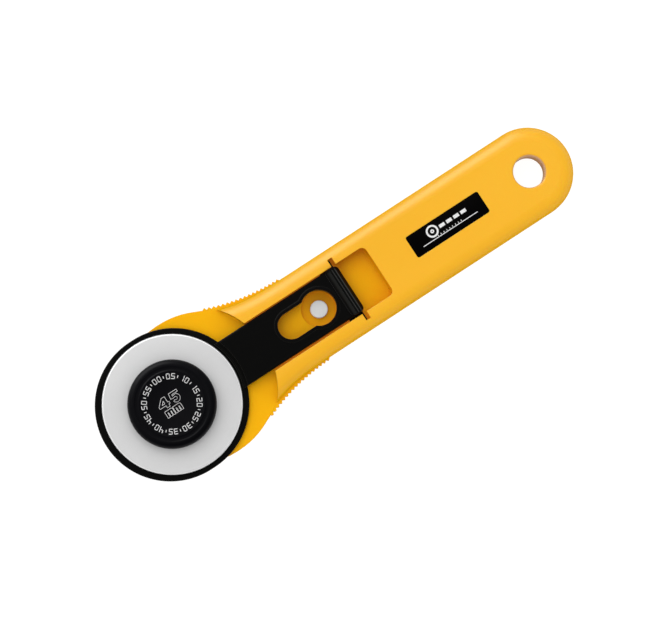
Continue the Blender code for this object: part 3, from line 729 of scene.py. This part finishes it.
def plate_marks():
    """A generic picture: a round blade and a dashed cutting line, over a rule with ticks."""
    z = PLATE_PRINT_Z
    bm = bmesh.new()
    for radius, width, steps in (WHEEL_RIM, WHEEL_HUB):
        ring_shape(bm, WHEEL_X, LINE_Y, radius, width, z, steps)
    for i in range(DASHES):
        bar_shape(bm, DASH_START + i * DASH_STEP, LINE_Y, *DASH, 0.0, z)
    bar_shape(bm, PLATE_X, RULE_Y, *RULE, 0.0, z)
    for i in range(NOTCHES):
        x = PLATE_X + (i - (NOTCHES - 1) / 2) * NOTCH_STEP
        bar_shape(bm, x, NOTCH_Y, *NOTCH, math.pi / 2, z)
    bmesh.ops.recalc_face_normals(bm, faces=bm.faces)
    piece("plate_print", bm, white_ink, "handle")


fine_blade()
fine_nut()
fine_plate()
nut_marks()
plate_marks()


# ---------------------------------------------------------------- stage
def stage():
    """A pale floor, clear from below so that the back of the object can be looked at."""
    n = Nodes("pale_floor")
    speck = n.noise(400.0, 3.0)
    n.set(Base_Color=n.ramp(speck, [(0.3, grey(0.18)), (0.7, grey(0.20))]),
          Roughness=0.9, Emission_Color=(1.0, 1.0, 1.0, 1.0), Emission_Strength=FLOOR_GLOW)
    facing = n.add("ShaderNodeNewGeometry")
    clear = n.add("ShaderNodeBsdfTransparent")
    sides = n.add("ShaderNodeMixShader")
    n.link(facing.outputs["Backfacing"], sides.inputs["Fac"])
    n.link(n.shader.outputs["BSDF"], sides.inputs[1])
    n.link(clear.outputs["BSDF"], sides.inputs[2])
    n.link(sides.outputs["Shader"], n.tree.nodes["Material Output"].inputs["Surface"])
    bm = bmesh.new()
    bmesh.ops.create_grid(bm, x_segments=2, y_segments=2, size=FLOOR_HALF)
    mesh = bpy.data.meshes.new("floor")
    bm.to_mesh(mesh)
    bm.free()
    floor = bpy.data.objects.new("floor", mesh)
    floor.location.z = cad_low.z - FLOOR_GAP
    bpy.context.scene.collection.objects.link(floor)
    mesh.materials.append(n.mat)


def in_view(vector):
    """Turns a direction given across and up in the picture into the frame's own axes."""
    return Matrix.Rotation(VIEW_TURN, 3, "Z") @ vector


def area(name, place, power):
    """A large soft square light that faces the object."""
    across, up, height = place
    place = in_view(Vector((across, up, 0.0))) + Vector((0, 0, height))
    data = bpy.data.lights.new(name, "AREA")
    data.size = LIGHT_SIZE
    data.energy = power
    light = bpy.data.objects.new(name, data)
    light.location = place
    light.rotation_mode = "QUATERNION"
    light.rotation_quaternion = (-place).to_track_quat("-Z", "Y")
    bpy.context.scene.collection.objects.link(light)
    return light


def studio():
    """Pale walls that light the object more than they mirror in it, and a dark screen."""
    world = bpy.data.worlds.new("studio")
    bpy.context.scene.world = world
    world.use_nodes = True
    nodes, links = world.node_tree.nodes, world.node_tree.links
    back = nodes["Background"]
    back.inputs["Color"].default_value = (1.0, 1.0, 1.0, 1.0)
    path = nodes.new("ShaderNodeLightPath")
    strength = nodes.new("ShaderNodeMapRange")
    strength.inputs["To Min"].default_value = WALLS_LIGHT
    links.new(path.outputs["Is Glossy Ray"], strength.inputs["Value"])
    links.new(strength.outputs["Result"], back.inputs["Strength"])
    # The screen stands to the lower right of the object and fades in toward its middle.
    sky = nodes.new("ShaderNodeTexCoord")
    toward = nodes.new("ShaderNodeVectorMath")
    toward.operation = "DOT_PRODUCT"
    toward.inputs[1].default_value = in_view(SCREEN_SIDE)
    mirrored = nodes.new("ShaderNodeMapRange")
    mirrored.inputs["From Min"].default_value = SCREEN_EDGE[0]
    mirrored.inputs["From Max"].default_value = SCREEN_EDGE[1]
    mirrored.inputs["To Min"].default_value = WALLS_MIRROR
    mirrored.inputs["To Max"].default_value = 0.0
    links.new(sky.outputs["Generated"], toward.inputs[0])
    links.new(toward.outputs["Value"], mirrored.inputs["Value"])
    links.new(mirrored.outputs["Result"], strength.inputs["To Max"])


def camera():
    place = Vector((OVER.x, OVER.y, PLANE_Z + DISTANCE))
    look = Vector((AIM.x, AIM.y, PLANE_Z)) - place
    data = bpy.data.cameras.new("camera")
    data.sensor_width = SENSOR
    data.lens = SENSOR * look.length / VIEW_WIDTH
    data.clip_start = 0.01
    cam = bpy.data.objects.new("camera", data)
    cam.location = place
    look.normalize()
    across = look.cross(in_view(Vector((0.0, 1.0, 0.0)))).normalized()
    cam.rotation_euler = Matrix((across, across.cross(look), -look)).transposed().to_euler()
    bpy.context.scene.collection.objects.link(cam)
    bpy.context.scene.camera = cam


stage()
area("key", KEY_PLACE, KEY_POWER).visible_glossy = False
area("sheen", SHEEN_PLACE, SHEEN_POWER).visible_diffuse = False
studio()
camera()
bpy.context.scene.view_settings.view_transform = "Standard"
